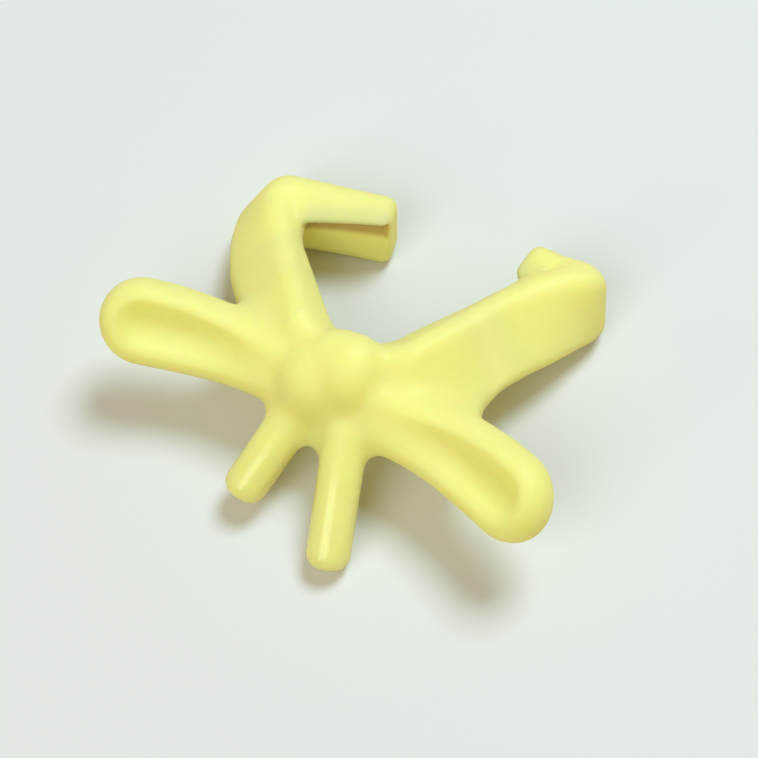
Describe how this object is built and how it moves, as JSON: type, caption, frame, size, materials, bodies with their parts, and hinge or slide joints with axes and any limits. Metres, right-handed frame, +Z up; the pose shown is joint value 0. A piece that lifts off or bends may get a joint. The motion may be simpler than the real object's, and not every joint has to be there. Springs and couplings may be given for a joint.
{
  "type": "clip-on toy bow",
  "caption": "Moulded yellow bow with a knot, dished loops and round tails on an open snap band whose springy arms end in hooked clip ends that grip a small figure's waist.",
  "frame": {"origin": "centre of the bounding box's footprint, on the table the part rests on", "axes": "+X to the wearer's side at the right of the picture, along the bow's loops; -Y the way the bow faces; +Y towards the clip ends; +Z up"},
  "size_m": [0.024, 0.0192, 0.0072],
  "materials": {
    "yellow_plastic": "soft semi-gloss moulded plastic"
  },
  "bodies": {
    "bow": {"knot": "yellow_plastic", "left_loop": "yellow_plastic", "right_loop": "yellow_plastic", "left_tail": "yellow_plastic", "right_tail": "yellow_plastic", "band_front": "yellow_plastic"},
    "left_arm": {"left_arm": "yellow_plastic", "left_clip_end": "yellow_plastic"},
    "right_arm": {"right_arm": "yellow_plastic", "right_clip_end": "yellow_plastic"}
  },
  "joints": [
    {"name": "left_arm_flex", "type": "hinge", "parent": "bow", "child": "left_arm", "pos_m": [-0.00574, 0.00039, 0.00475], "axis": [0.4731, 0.6622, 0.5811], "range_deg": [0, 15], "stiffness_Nm_per_rad": 0.15},
    {"name": "right_arm_flex", "type": "hinge", "parent": "bow", "child": "right_arm", "pos_m": [0.00519, 0.00143, 0.00494], "axis": [0.5781, -0.5385, -0.6131], "range_deg": [0, 15], "stiffness_Nm_per_rad": 0.15}
  ]
}
